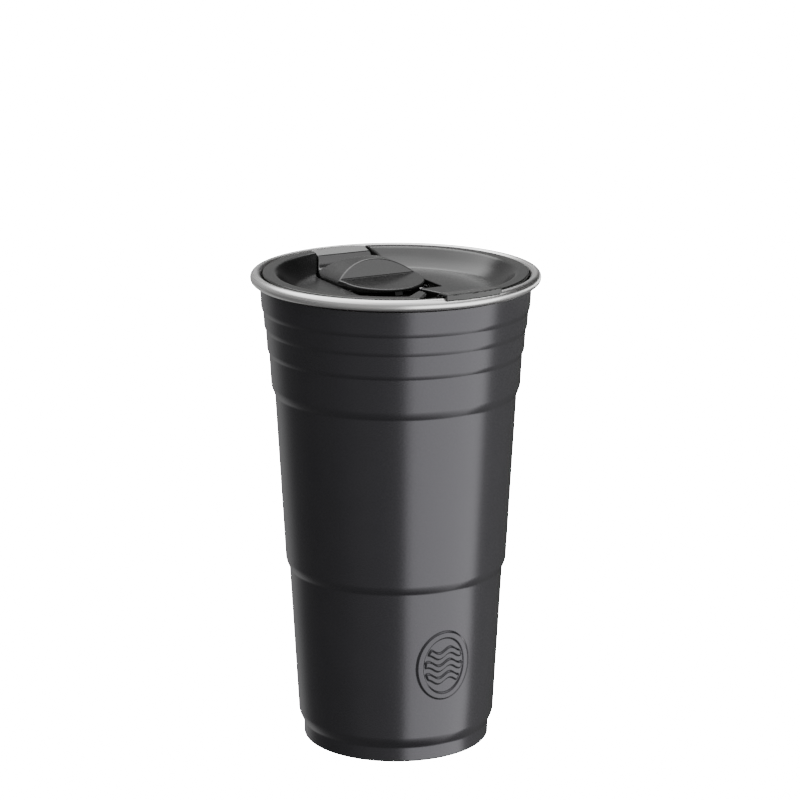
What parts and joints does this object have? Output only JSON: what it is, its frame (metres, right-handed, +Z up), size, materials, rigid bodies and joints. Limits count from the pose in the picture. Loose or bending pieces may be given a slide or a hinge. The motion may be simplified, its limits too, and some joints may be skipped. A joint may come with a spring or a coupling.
{
  "type": "insulated tumbler",
  "caption": "Double-wall steel party-cup tumbler with a stepped tapered body, rolled steel rim and a press-in lid with a rocking flip lever.",
  "frame": {"origin": "centre of the ring the cup stands on", "axes": "+Z up the cup's axis to the rim; -Y is the front, with the emblem and the lid's lift tab; the lid's lever runs along Y with its spout cover at +Y"},
  "size_m": [0.102, 0.102, 0.1722],
  "materials": {
    "coating": "charcoal powder coat, satin sheen",
    "steel": "satin brushed stainless steel",
    "lid_plastic": "moulded black, semi-gloss",
    "silicone": "matt dark silicone",
    "seal_glass": "fused sealing glass bead"
  },
  "bodies": {
    "root": {"outer_shell": "coating", "inner_liner": "steel", "base_cap": "steel", "base_cover": "steel", "vacuum_seal": "seal_glass", "getter": "steel"},
    "lid": {"lid_top": "lid_plastic", "lid_base": "lid_plastic", "lid_gasket": "silicone", "hinge_pin": "steel"},
    "lever_body": {"lever": "lid_plastic", "spout_stopper": "silicone"}
  },
  "joints": [
    {"name": "lid_lift", "type": "slide", "parent": "root", "child": "lid", "axis": [0, 0, 1], "range_m": [0, 0.06]},
    {"name": "lever_flip", "type": "hinge", "parent": "lid", "child": "lever_body", "pos_m": [0, 0.01, 0.1602], "axis": [1, 0, 0], "range_deg": [0, 28]}
  ]
}
